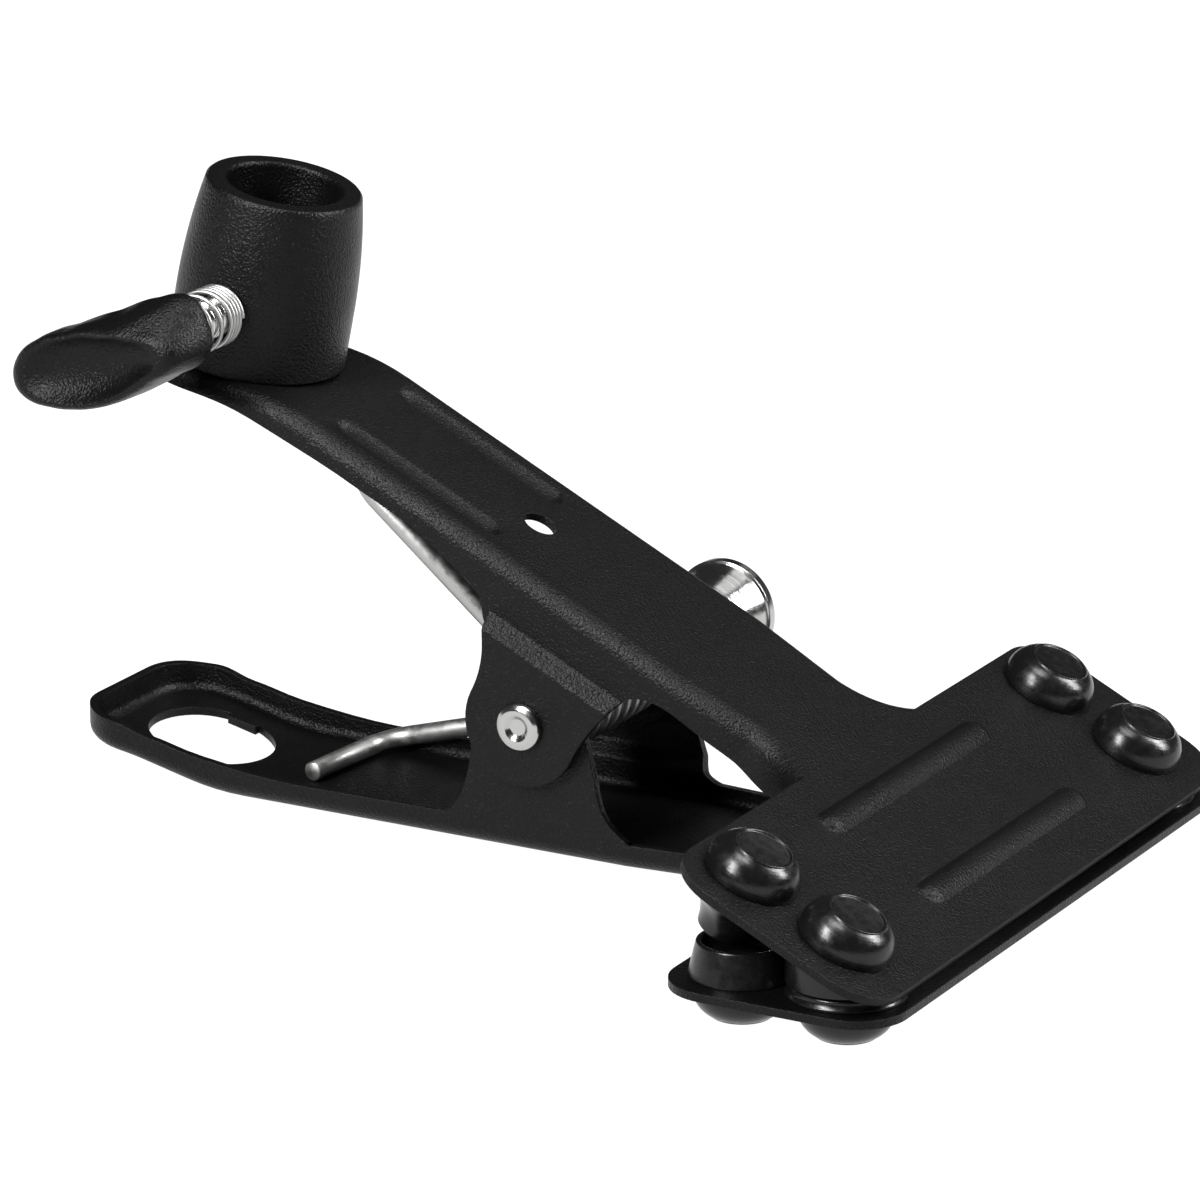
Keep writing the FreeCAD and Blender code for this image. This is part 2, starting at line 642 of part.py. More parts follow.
def pad(label, inner):
    """A moulded rubber pad pushed through its hole; z points outwards from the plate's outer face."""
    dome = [
        (PAD_NECK_R, FACE_GAP),
        (DOME_R, FACE_GAP),
        (DOME_R, DOME_H * 0.22, DOME_ROUND_R),
        (DOME_FLAT_R, DOME_H),
        (DOME_FLAT_R * 0.93, DOME_H),
        (DOME_FLAT_R * 0.88, DOME_H - PAD_RIM),
        (0, DOME_H - PAD_RIM),
    ]
    return turned(label, inner + dome)


inner_face = -SHEET_T - FACE_GAP
nose_end = inner_face - NOSE_LENGTH
nose = [
    (0, nose_end),
    (NOSE_BASE_R * 0.49, nose_end, NOSE_ROUND_R),
    (NOSE_BASE_R, inner_face - NOSE_LENGTH * 0.25),
    (NOSE_BASE_R, inner_face),
    (PAD_NECK_R, inner_face),
]
cup_top = inner_face - CUP_HEIGHT
cup = [
    (0, cup_top + CUP_DEPTH),
    (CUP_BASE_R * 0.62, cup_top + CUP_DEPTH),
    (CUP_BASE_R * 0.75, cup_top),
    (CUP_BASE_R * 0.84, cup_top),
    (CUP_BASE_R * 0.9, cup_top + PAD_RIM * 2),
    (CUP_BASE_R, inner_face),
    (PAD_NECK_R, inner_face),
]
neck_foot = inner_face - SHEET_T
neck = [(0, neck_foot), (PAD_NECK_R, neck_foot)]
skirt_top = inner_face - SKIRT_H
skirt_section = [
    (0, skirt_top),
    (COLUMN_R, skirt_top),
    (SKIRT_R, inner_face - SKIRT_H * 0.3),
    (SKIRT_R, inner_face),
    (PAD_NECK_R, inner_face),
]

upper_necks = {}
for side, y in (("near", -PAD_Y), ("far", PAD_Y)):
    rear = pad(f"upper_pad_rear_{side}", nose)
    rear.Placement = on_upper(UPPER_PAD_REAR.value, y.value, UPPER_TOP.value)
    upper_necks[side] = pad(f"front_neck_{side}", neck)
    upper_necks[side].Placement = on_upper(UPPER_PAD_FRONT.value, y.value, UPPER_TOP.value)
for row, x, section in (("rear", LOWER_PAD_REAR, cup), ("front", LOWER_PAD_FRONT, skirt_section)):
    for side, y in (("near", -PAD_Y), ("far", PAD_Y)):
        one = pad(f"lower_pad_{row}_{side}", section)
        one.Placement = Placement(Vector(x.value, y.value, -LOWER_BOTTOM.value), Rotation(X_AXIS, 180))


# ---------------------------------------------------------------- socket

SOCKET_BACK = -SOCKET_TILT.value
socket_frame = on_upper(-SOCKET_U.value, 0, SOCKET_W.value)
socket_frame = socket_frame.multiply(Placement(Vector(), Rotation(Y_AXIS, SOCKET_BACK)))
screw_frame = on_upper(-SOCKET_U.value, 0, SOCKET_W.value)
screw_frame = screw_frame.multiply(Placement(Vector(), Rotation(Y_AXIS, -TAIL_SLOPE)))
socket_body = turned("socket_body", [
    (0, -SOCKET_SKIRT),
    (SOCKET_BASE_R, -SOCKET_SKIRT),
    (SOCKET_BASE_R, SOCKET_H * 0.34, SOCKET_SIDE_R),
    (SOCKET_TOP_R, SOCKET_H - SOCKET_EDGE),
    (SOCKET_TOP_R - SOCKET_EDGE, SOCKET_H),
    (SOCKET_BORE_R + SOCKET_MOUTH, SOCKET_H),
    (SOCKET_BORE_R, SOCKET_H - SOCKET_MOUTH),
    (SOCKET_BORE_R, SOCKET_FLOOR),
    (0, SOCKET_FLOOR),
])


def cylinder(name, radius, height, placement):
    """Cylinder used as a cutting tool."""
    tool = DOC.addObject("Part::Cylinder", name)
    tool.setExpression("Radius", radius.text)
    tool.setExpression("Height", height.text)
    tool.Placement = placement
    return tool


def block(name, size, placement):
    """Cube centred on its placement in x and y, growing along +z, used as a cutting tool."""
    tool = DOC.addObject("Part::Box", name)
    for side in ("Length", "Width", "Height"):
        tool.setExpression(side, size.text)
    corner = Vector(-size.value / 2, -size.value / 2, 0)
    tool.Placement = placement.multiply(Placement(corner, Rotation()))
    return tool


def cut_piece(label, base, tools):
    """The piece left when the tools are cut from a base body."""
    if len(tools) > 1:
        joined = DOC.addObject("Part::MultiFuse", label + "_tools")
        joined.Shapes = tools
        tools = [joined]
    piece = DOC.addObject("Part::Cut", label)
    piece.Label = label
    piece.Base = base
    piece.Tool = tools[0]
    if base in PARTS:
        PARTS.remove(base)
    PARTS.append(piece)
    return piece


to_tail = Placement(Vector(), Rotation(Y_AXIS, SOCKET_TILT.value - TAIL_SLOPE))
turn_down = Placement(Vector(), Rotation(X_AXIS, 180))
lift = Placement(Vector(0, 0, FACE_GAP.value), Rotation())
lock_height = SOCKET_H - LOCK_DEPTH
socket = cut_piece("socket", socket_body, [
    block("socket_seat", SOCKET_H * 3, to_tail.multiply(lift).multiply(turn_down)),
    cylinder("socket_screw_hole", FIXING_R + PIVOT_GAP, SOCKET_H * 0.6, to_tail.multiply(
        Placement(Vector(0, 0, -SOCKET_SKIRT.value), Rotation()))),
    cylinder("lock_hole", LOCK_BORE_R, SOCKET_BASE_R * 1.5, Placement(
        Vector(0, 0, lock_height.value), Rotation(X_AXIS, 90))),
])
socket.Placement = socket_frame

washer_top = -SHEET_T - FACE_GAP
washer_base = washer_top - FIXING_WASHER_T
socket_washer = ring("socket_washer", FIXING_R + PIVOT_GAP, FIXING_R * 2.1, washer_base, washer_top)
head_top = washer_base - FACE_GAP
socket_screw = turned("socket_screw", [
    (0, head_top - FIXING_HEAD_H),
    (FIXING_R * 1.3, head_top - FIXING_HEAD_H),
    (FIXING_HEAD_R, head_top - FIXING_HEAD_H * 0.5),
    (FIXING_HEAD_R, head_top),
    (FIXING_R, head_top),
    (FIXING_R, SOCKET_FLOOR * 0.8),
    (0, SOCKET_FLOOR * 0.8),
])
socket_washer.Placement = screw_frame
socket_screw.Placement = screw_frame


# ---------------------------------------------------------------- wing lock

lock_spot = socket_frame.multVec(Vector(0, 0, lock_height.value))
lock_frame = Placement(lock_spot, Rotation(Z_AXIS, -Y_AXIS))
THREAD_GROOVES = 8
THREAD_PITCH = 1.4
THREAD_DEPTH = 0.45
SCREW_IN_KNOB = 0.6
screw_section = [(0, LOCK_TIP), (LOCK_R * 0.7, LOCK_TIP), (LOCK_R, LOCK_TIP + LOCK_R * 0.3)]
first = LOCK_SPRING_START - FACE_GAP
for index in range(THREAD_GROOVES):
    along = first + index * THREAD_PITCH
    screw_section += [(LOCK_R, along), (LOCK_R - THREAD_DEPTH, along + THREAD_PITCH / 2)]
screw_end = KNOB_FACE + KNOB_DEPTH * SCREW_IN_KNOB
screw_section += [(LOCK_R, KNOB_FACE), (LOCK_R, screw_end), (0, screw_end)]
lock_screw = turned("lock_screw", screw_section)
lock_screw.Placement = lock_frame

LOCK_SPRING_TURNS = 5
spring_low = LOCK_SPRING_START.value + LOCK_WIRE_R.value
spring_high = KNOB_FACE.value - LOCK_WIRE_R.value - FACE_GAP.value
lock_coil = coil_about(
    (spring_high - spring_low) / LOCK_SPRING_TURNS, spring_high - spring_low, LOCK_SPRING_R.value,
    LOCK_WIRE_R.value)
lock_spring = new_piece("lock_spring", lock_coil)
lock_spring.Placement = lock_frame.multiply(Placement(Vector(0, 0, spring_low), Rotation()))


def stretched_ball(reach, half, depth, spot):
    """Ellipsoid used to scoop the dish out of the wing."""
    matrix = FreeCAD.Matrix()
    matrix.A11 = reach
    matrix.A22 = half
    matrix.A33 = depth
    matrix.A14, matrix.A24, matrix.A34 = spot
    return Part.makeSphere(1).transformGeometry(matrix)


def wing_shape():
    """Die-cast wing: a round boss with one dished paddle reaching along local x; local y points downwards."""
    reach = KNOB_REACH.value
    face = KNOB_FACE.value
    depth = KNOB_DEPTH.value
    boss = KNOB_BOSS_R.value
    wide = KNOB_HALF.value
    spots = [
        Vector(-boss, 0, 0), Vector(-boss * 0.64, -boss * 0.79, 0), Vector(boss * 0.2, -boss * 1.02, 0),
        Vector(reach * 0.33, -wide * 0.92, 0), Vector(reach * 0.69, -wide * 0.87, 0),
        Vector(reach * 0.9, -wide * 0.58, 0), Vector(reach, -wide * 0.05, 0),
        Vector(reach * 0.92, wide * 0.5, 0), Vector(reach * 0.7, wide * 0.89, 0),
        Vector(reach * 0.45, wide * 1.07, 0),
        Vector(reach * 0.2, wide * 1.04, 0), Vector(0, boss * 1.03, 0), Vector(-boss * 0.75, boss * 0.72, 0),
    ]
    curve = Part.BSplineCurve()
    curve.interpolate(spots, PeriodicFlag=True)
    paddle = Part.Face(Part.Wire(curve.toShape())).extrude(Vector(0, 0, depth))
    paddle.translate(Vector(0, 0, face))
    back = [
        Vector(boss * 0.9, -20, face - 1), Vector(boss * 1.1, -20, face + depth * 0.22),
        Vector(reach + 2, -20, face + depth * 0.5), Vector(reach + 2, -20, face - 1),
    ]
    paddle = paddle.cut(Part.Face(Part.makePolygon(back + back[:1])).extrude(Vector(0, 40, 0)))
    rim_spot = (reach * 0.46, wide * 0.09, face + depth * 1.04)
    paddle = paddle.cut(stretched_ball(reach * 0.49, wide * 0.82, depth * 0.36, rim_spot))
    bore = Part.makeCylinder(LOCK_R.value + BORE_GAP, depth * SCREW_IN_KNOB, Vector(0, 0, face))
    return paddle.cut(bore)


BORE_GAP = 0.02
wing_knob = new_piece("wing_knob", wing_shape())
down = KNOB_ANGLE.value
lever_x = Vector(-math.cos(math.radians(down)), 0, -math.sin(math.radians(down)))
wing_knob.Placement = Placement(lock_spot, Rotation(lever_x, Vector(), -Y_AXIS, "XZY"))


# ---------------------------------------------------------------- fitting, placing and export

for side, y in (("near", -PAD_Y), ("far", PAD_Y)):
    stem = upper_necks[side]
    foot = Placement(Vector(COLUMN_X.value, y.value, COLUMN_FOOT.value), Rotation())
    under_plate = on_upper(UPPER_PAD_FRONT.value, y.value, (UPPER_TOP + inner_face).value)
    column = DOC.addObject("Part::Cut", f"front_column_{side}")
    column.Base = cylinder(f"column_bar_{side}", COLUMN_R, COLUMN_R * 4, foot)
    column.Tool = block(f"column_top_{side}", COLUMN_R * 8, under_plate)
    joined = DOC.addObject("Part::MultiFuse", f"upper_pad_front_{side}")
    joined.Label = f"upper_pad_front_{side}"
    joined.Shapes = [stem, column]
    PARTS[PARTS.index(stem)] = joined

upper_arm.Placement = UPPER_FRAME.multiply(Placement(Vector(0, 0, UPPER_TOP.value), Rotation(X_AXIS, 180)))
lower_arm.Placement = Placement(Vector(0, 0, -LOWER_BOTTOM.value), Rotation())
for piece in (pivot_stud, pivot_sleeve, near_ear_washer, far_ear_washer):
    piece.Placement = ALONG_STUD
DOC.recompute()

tilt = Placement(Vector(), Rotation(Y_AXIS, -REST_TILT.value))
for piece in PARTS:
    piece.Placement = tilt.multiply(piece.Placement)
DOC.recompute()
boxes = [piece.Shape.optimalBoundingBox(False) for piece in PARTS]
middle_x = (min(box.XMin for box in boxes) + max(box.XMax for box in boxes)) / 2
middle_y = (min(box.YMin for box in boxes) + max(box.YMax for box in boxes)) / 2
floor = min(box.ZMin for box in boxes)
stand = Placement(Vector(-middle_x, -middle_y, -floor), Rotation())
for piece in PARTS:
    piece.Placement = stand.multiply(piece.Placement)
DOC.recompute()

for item in DOC.Objects:
    if "Invalid" in item.State or "Error" in item.State:
        raise RuntimeError(f"{item.Name}: {item.State}")
os.makedirs("parts", exist_ok=True)
for piece in PARTS:
    if piece.Shape.isNull() or not piece.Shape.isValid():
        raise RuntimeError(f"{piece.Label} has no valid shape")
    piece.Shape.exportStep(f"parts/{piece.Label}.step")
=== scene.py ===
"""Looks of a pressed-steel spring clamp with a side stud and a socket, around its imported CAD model."""
import json
import math
import bmesh
import bpy
from mathutils import Matrix, Vector


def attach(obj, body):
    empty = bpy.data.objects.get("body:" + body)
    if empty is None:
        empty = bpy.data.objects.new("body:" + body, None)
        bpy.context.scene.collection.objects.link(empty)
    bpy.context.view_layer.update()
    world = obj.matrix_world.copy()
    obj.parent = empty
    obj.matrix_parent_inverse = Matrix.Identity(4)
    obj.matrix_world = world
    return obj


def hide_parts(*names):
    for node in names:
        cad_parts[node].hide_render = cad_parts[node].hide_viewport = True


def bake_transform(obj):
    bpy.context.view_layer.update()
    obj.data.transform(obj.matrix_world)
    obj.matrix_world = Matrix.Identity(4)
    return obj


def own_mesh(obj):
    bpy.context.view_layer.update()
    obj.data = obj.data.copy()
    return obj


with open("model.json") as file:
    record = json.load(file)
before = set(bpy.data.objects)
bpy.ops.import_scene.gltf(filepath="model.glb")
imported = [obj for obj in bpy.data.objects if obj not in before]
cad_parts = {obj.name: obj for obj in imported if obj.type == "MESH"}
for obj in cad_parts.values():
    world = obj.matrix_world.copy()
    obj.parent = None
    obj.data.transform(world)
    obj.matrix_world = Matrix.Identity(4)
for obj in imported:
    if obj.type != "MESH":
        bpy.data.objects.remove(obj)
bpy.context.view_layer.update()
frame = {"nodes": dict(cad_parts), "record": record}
MM = 0.001

# ---------------------------------------------------------------- frames

REST_TILT = math.radians(2.83)
JAW_PITCH = math.radians(26.0)
JOINTS = {joint["name"]: joint for joint in frame["record"]["behaviour"]["joints"]}
PIVOT = Vector(JOINTS["jaw_pivot"]["pos_m"])
LOCK = Vector(JOINTS["knob_turn"]["pos_m"])

TO_ARM = Matrix.Translation(PIVOT) @ Matrix.Rotation(-REST_TILT, 4, "Y")
TO_UPPER = TO_ARM @ Matrix.Rotation(JAW_PITCH, 4, "Y")
TO_STUD = TO_ARM @ Matrix.Rotation(math.radians(-90), 4, "X")


# ---------------------------------------------------------------- materials

def new_material(name):
    """A node material with its nodes and its Principled shader."""
    material = bpy.data.materials.new(name)
    material.use_nodes = True
    nodes = material.node_tree.nodes
    return material, nodes, material.node_tree.links, nodes["Principled BSDF"]


def bumped(nodes, links, shader, height, distance):
    """Feeds a height into the shader's normal."""
    bump = nodes.new("ShaderNodeBump")
    bump.inputs["Distance"].default_value = distance
    bump.inputs["Strength"].default_value = 1.0
    links.new(height, bump.inputs["Height"])
    links.new(bump.outputs["Normal"], shader.inputs["Normal"])
    return bump


def noise(nodes, links, scale, detail, rough):
    """Noise over the object's own coordinates, in cycles per metre."""
    place = nodes.new("ShaderNodeTexCoord")
    texture = nodes.new("ShaderNodeTexNoise")
    texture.inputs["Scale"].default_value = scale
    texture.inputs["Detail"].default_value = detail
    texture.inputs["Roughness"].default_value = rough
    links.new(place.outputs["Object"], texture.inputs["Vector"])
    return texture


def spread(nodes, links, source, low, high, out_low, out_high):
    """Maps a value's range to another, clamped."""
    remap = nodes.new("ShaderNodeMapRange")
    remap.inputs["From Min"].default_value = low
    remap.inputs["From Max"].default_value = high
    remap.inputs["To Min"].default_value = out_low
    remap.inputs["To Max"].default_value = out_high
    links.new(source, remap.inputs["Value"])
    return remap.outputs["Result"]


GRAIN = 2600.0
GRAIN_DEPTH = 0.0002
EDGE_SOFTENING = 0.0003


def powder(name, rough_low, rough_high):
    """Black coat with a fine pebbled grain, softened over sharp edges."""
    material, nodes, links, shader = new_material(name)
    shader.inputs["Base Color"].default_value = (0.0018, 0.0018, 0.0018 * 1.03, 1)
    shader.inputs["Specular IOR Level"].default_value = 0.15
    pebbles = noise(nodes, links, GRAIN, 2.0, 0.5)
    wear = noise(nodes, links, GRAIN * 0.05, 3.0, 0.6)
    polish = spread(nodes, links, wear.outputs["Fac"], 0.3, 0.7, rough_low, rough_high)
    links.new(polish, shader.inputs["Roughness"])
    bump = bumped(nodes, links, shader, pebbles.outputs["Fac"], GRAIN_DEPTH)
    soft_edge = nodes.new("ShaderNodeBevel")
    soft_edge.samples = 4
    soft_edge.inputs["Radius"].default_value = EDGE_SOFTENING
    links.new(soft_edge.outputs["Normal"], bump.inputs["Normal"])
    return material


def metal(name, base, rough, turned_axis=None, lines=0.0):
    """Bright steel, with fine tool marks across turned_axis where it is given."""
    material, nodes, links, shader = new_material(name)
    shader.inputs["Base Color"].default_value = (base, base, base * 0.985, 1)
    shader.inputs["Metallic"].default_value = 1.0
    wear = noise(nodes, links, 900.0, 3.0, 0.6)
    polish = spread(nodes, links, wear.outputs["Fac"], 0.3, 0.7, rough * 0.8, rough * 1.3)
    links.new(polish, shader.inputs["Roughness"])
    if turned_axis is not None:
        place = nodes.new("ShaderNodeTexCoord")
        split = nodes.new("ShaderNodeSeparateXYZ")
        links.new(place.outputs["Object"], split.inputs["Vector"])
        rings = nodes.new("ShaderNodeTexNoise")
        rings.noise_dimensions = "1D"
        rings.inputs["Scale"].default_value = lines
        rings.inputs["Detail"].default_value = 2.0
        links.new(split.outputs[turned_axis], rings.inputs["W"])
        bumped(nodes, links, shader, rings.outputs["Fac"], 0.00003)
    return material


def rubber(name):
    """Glossy moulded black rubber."""
    material, nodes, links, shader = new_material(name)
    shader.inputs["Base Color"].default_value = (0.003, 0.003, 0.0032, 1)
    shader.inputs["Specular IOR Level"].default_value = 0.32
    wear = noise(nodes, links, 700.0, 3.0, 0.6)
    polish = spread(nodes, links, wear.outputs["Fac"], 0.35, 0.65, 0.2, 0.32)
    links.new(polish, shader.inputs["Roughness"])
    bumped(nodes, links, shader, wear.outputs["Fac"], 0.00002)
    return material


COATED = powder("black_powder_coat", 0.34, 0.42)
CAST = powder("black_casting", 0.3, 0.38)
PADS = rubber("pad_rubber")
TURNED = metal("turned_steel", 0.42, 0.17, "Y", 5000.0)
PLATED = metal("plated_steel", 0.5, 0.22)
WIRE = metal("spring_wire", 0.36, 0.42)
SLOT_MATERIALS = {
    "black_powder": COATED,
    "cast_black": CAST,
    "turned_steel": TURNED,
    "spring_wire": WIRE,
    "plated_steel": PLATED,
    "pad_rubber": PADS,
}


# ---------------------------------------------------------------- pieces

def finished(name, mesh, material, body, replaced, smooth_angle=40.0):
    """Puts a mesh in the scene with its material, its body and the CAD nodes it stands for."""
    piece = bpy.data.objects.new(name, mesh)
    bpy.context.collection.objects.link(piece)
    mesh.materials.append(material)
    for polygon in mesh.polygons:
        polygon.use_smooth = True
    mesh.set_sharp_from_angle(angle=math.radians(smooth_angle))
    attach(piece, body)
    if replaced:
        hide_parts(*replaced)
    return piece


def bridged(work, rings):
    """Skins rings of as many corners each, one after the other."""
    for lower, upper in zip(rings, rings[1:]):
        for index in range(len(lower)):
            after = (index + 1) % len(lower)
            work.faces.new([lower[index], lower[after], upper[after], upper[index]])


def capped(work, rings):
    """Skins rings and closes both ends with flat faces."""
    bridged(work, rings)
    work.faces.new(rings[0][::-1])
    work.faces.new(rings[-1])


def mesh_of(name, build):
    """New mesh from a function that fills a bmesh."""
    work = bmesh.new()
    build(work)
    bmesh.ops.recalc_face_normals(work, faces=work.faces)
    mesh = bpy.data.meshes.new(name)
    work.to_mesh(mesh)
    work.free()
    return mesh


def revolve(profile, place, around=96):
    """Builder of a mesh turned about local z from (radius, z) points in millimetres."""
    def build(work):
        rings = []
        for radius, height in profile:
            if radius < 1e-6:
                rings.append([work.verts.new(place @ Vector((0, 0, height * MM)))])
                continue
            ring = []
            for index in range(around):
                angle = 2 * math.pi * index / around
                spot = Vector((radius * math.cos(angle), radius * math.sin(angle), height)) * MM
                ring.append(work.verts.new(place @ spot))
            rings.append(ring)
        for lower, upper in zip(rings, rings[1:]):
            for index in range(around):
                after = (index + 1) % around
                corners = [
                    lower[index % len(lower)], lower[after % len(lower)],
                    upper[after % len(upper)], upper[index % len(upper)]]
                unique = list(dict.fromkeys(corners))
                if len(unique) > 2:
                    work.faces.new(unique)
    return build


def rounded(points, radius, steps=5):
    """Profile points with their corners rounded; a point (r, z, k) takes its own radius k."""
    result = [points[0][:2]]
    for before, point, after in zip(points, points[1:], points[2:]):
        spot = Vector(point[:2])
        own = point[2] if len(point) > 2 else radius
        back = Vector(before[:2]) - spot
        ahead = Vector(after[:2]) - spot
        reach = min(own, back.length * 0.45, ahead.length * 0.45)
        if reach < 1e-4:
            result.append(tuple(spot))
            continue
        start = spot + back.normalized() * reach
        end = spot + ahead.normalized() * reach
        for index in range(steps + 1):
            share = index / steps
            bend = start.lerp(spot, share).lerp(spot.lerp(end, share), share)
            result.append(tuple(bend))
    result.append(points[-1][:2])
    return result


def arc_points(start, end, bulge, steps=10):
    """Points from start to end on a curve that bulges sideways by bulge, in the (r, z) plane."""
    first = Vector(start)
    last = Vector(end)
    across = Vector(((last - first).y, -(last - first).x)).normalized()
    points = []
    for index in range(steps + 1):
        share = index / steps
        spot = first.lerp(last, share) + across * (bulge * 4 * share * (1 - share))
        points.append(tuple(spot))
    return points


def weigh_normals(piece):
    """Lets large flat faces keep their own direction where they run into a bend."""
    weighted = piece.modifiers.new("weighted", "WEIGHTED_NORMAL")
    weighted.keep_sharp = True
    weighted.weight = 90
    bpy.context.view_layer.update()
    shaped = piece.evaluated_get(bpy.context.evaluated_depsgraph_get())
    mesh = bpy.data.meshes.new_from_object(shaped)
    piece.modifiers.clear()
    piece.data = mesh


def copy_of_node(node, name, material, body):
    """Smoothly shaded copy of a CAD node, standing for it."""
    source = frame["nodes"][node]
    mesh = source.data.copy()
    mesh.name = name
    mesh.materials.clear()
    work = bmesh.new()
    work.from_mesh(mesh)
    bmesh.ops.remove_doubles(work, verts=work.verts, dist=1e-6)
    work.to_mesh(mesh)
    work.free()
    weigh_normals(finished(name, mesh, material, body, [node], 26.0))


# ---------------------------------------------------------------- rubber pads

PAD_Y = 46.7
HOLE_R = 3.95
PLATE_UNDER = -1.22
DOME = rounded(
    [(HOLE_R, 0.02), (6.75, 0.02)] + arc_points((6.75, 0.7), (4.3, 4.45), 0.62)
    + [(4.2, 4.62), (3.95, 4.6), (3.75, 4.38), (0, 4.4)], 0.12)


def pads_on(plate, body, rows, flip):
    """The pads of one jaw: each is a button moulded through the plate."""
    for row, x, inside in rows:
        for side, y in (("near", -PAD_Y), ("far", PAD_Y)):
            node = f"{body}_pad_{row}_{side}"
            place = plate @ Matrix.Translation(Vector((x, y, 0)) * MM) @ flip
            mesh = mesh_of(node, revolve(inside + DOME, place))
            finished(node + "_rubber", mesh, PADS, body, [node])


NOSE = rounded(
    [(0, -9.25), (3.6, -9.25)] + arc_points((3.8, -9.2), (7.7, -3.2), -0.9)
    + [(7.7, PLATE_UNDER), (HOLE_R, PLATE_UNDER)], 0.2)
CUP = rounded([
    (0, -3.9), (4.5, -3.9, 1.4), (5.5, -6.05, 0.3), (6.2, -6.1, 0.5), (7.28, -1.4),
    (7.28, PLATE_UNDER), (HOLE_R, PLATE_UNDER)], 0.15)
SKIRT = rounded(
    [(0, -2.75), (7.8, -2.75, 0.25)] + arc_points((7.9, -2.6), (8.3, -1.6), -0.1, 5)
    + [(8.3, PLATE_UNDER, 0.15), (HOLE_R, PLATE_UNDER)], 0.1)
FLIP = Matrix.Rotation(math.pi, 4, "X")
UPPER_TOP = 18.85
LOWER_BOTTOM = 19.5
UPPER_REAR_X = 48.0
UPPER_FRONT_X = 63.6
LOWER_REAR_X = 50.2
LOWER_FRONT_X = 65.9
upper_plate = TO_UPPER @ Matrix.Translation(Vector((0, 0, UPPER_TOP)) * MM)
lower_plate = TO_ARM @ Matrix.Translation(Vector((0, 0, -LOWER_BOTTOM)) * MM)
pads_on(upper_plate, "upper", [("rear", UPPER_REAR_X, NOSE)], Matrix.Identity(4))
pads_on(lower_plate, "lower", [("rear", LOWER_REAR_X, CUP), ("front", LOWER_FRONT_X, SKIRT)], FLIP)


COLUMN_R = 7.88
COLUMN_X = 65.4
COLUMN_FOOT = -16.69
COLUMN_EDGE = 0.25
COLUMN_SIDES = 96
CROWN_GAP = 1.25
NECK = [(0, -2.4), (HOLE_R, -2.4)]


def squeezed_column(y):
    """Builder of a front pad's column: upright, flat at its foot, cut by the sloping plate at its top."""
    def build(work):
        slope = math.tan(JAW_PITCH)
        crown = (UPPER_TOP - CROWN_GAP) / math.cos(JAW_PITCH)
        rings = []
        levels = (
            (COLUMN_R - COLUMN_EDGE, 0.0), (COLUMN_R, COLUMN_EDGE), (COLUMN_R, None), (COLUMN_R - 0.3, None))
        for radius, level in levels:
            ring = []
            for index in range(COLUMN_SIDES):
                angle = 2 * math.pi * index / COLUMN_SIDES
                x = COLUMN_X + radius * math.cos(angle)
                top = crown - x * slope
                z = top if level is None else min(COLUMN_FOOT + level, top - 0.05)
                z -= COLUMN_EDGE if level is None and radius == COLUMN_R else 0.0
                z = max(z, COLUMN_FOOT + 0.02)
                spot = Vector((x, y + radius * math.sin(angle), z)) * MM
                ring.append(work.verts.new(TO_ARM @ spot))
            rings.append(ring)
        capped(work, rings)
    return build


for side, y in (("near", -PAD_Y), ("far", PAD_Y)):
    node = f"upper_pad_front_{side}"
    place = upper_plate @ Matrix.Translation(Vector((UPPER_FRONT_X, y, 0)) * MM)
    button = revolve(NECK + DOME, place)
    column = squeezed_column(y)
    mesh = mesh_of(node, lambda work: (button(work), column(work)))
    finished(node + "_rubber", mesh, PADS, "upper", [node])


# ---------------------------------------------------------------- metal pieces

copy_of_node("upper_arm", "upper_arm_pressing", COATED, "upper")
copy_of_node("lower_arm", "lower_arm_pressing", COATED, "lower")
copy_of_node("socket", "socket_casting", CAST, "upper")

STUD_R = 7.93
WAIST_R = 5.9
SHANK_R = 3.0
RIVET_R = 3.42
EAR_FACE = 17.42
STUD_END = 45.88
RIVET_HEAD = [
    (0, -18.15), (1.2, -18.15, 0.1), (1.9, -18.7, 0.2), (2.6, -18.7, 0.3), (RIVET_R, -18.25, 0.3),
    (RIVET_R, -EAR_FACE)]
SHANK = [(SHANK_R, -EAR_FACE), (SHANK_R, EAR_FACE)]
SHOULDER = [(7.6, EAR_FACE, 0.1), (STUD_R, 17.8, 0.2), (STUD_R, 23.9, 0.3)]
WAIST = [(WAIST_R, 26.0, 0.5), (WAIST_R, 37.6, 0.8), (7.45, 43.4, 0.3), (7.5, 43.75)]
COLLAR = [(STUD_R, 43.9, 0.1), (STUD_R, 45.5, 0.25), (7.55, STUD_END, 0.2)]
CENTRE_MARK = [(1.6, STUD_END, 0.1), (0.9, 45.2, 0.1), (0, 45.1)]
STUD = rounded(RIVET_HEAD + SHANK + SHOULDER + WAIST + COLLAR + CENTRE_MARK, 0.05, 4)
stud_mesh = mesh_of("pivot_stud", revolve(STUD, TO_STUD, 128))
finished("pivot_stud_turned", stud_mesh, TURNED, "lower", ["pivot_stud"], 24.0)


# ---------------------------------------------------------------- springs

END_SCALE = 0.86


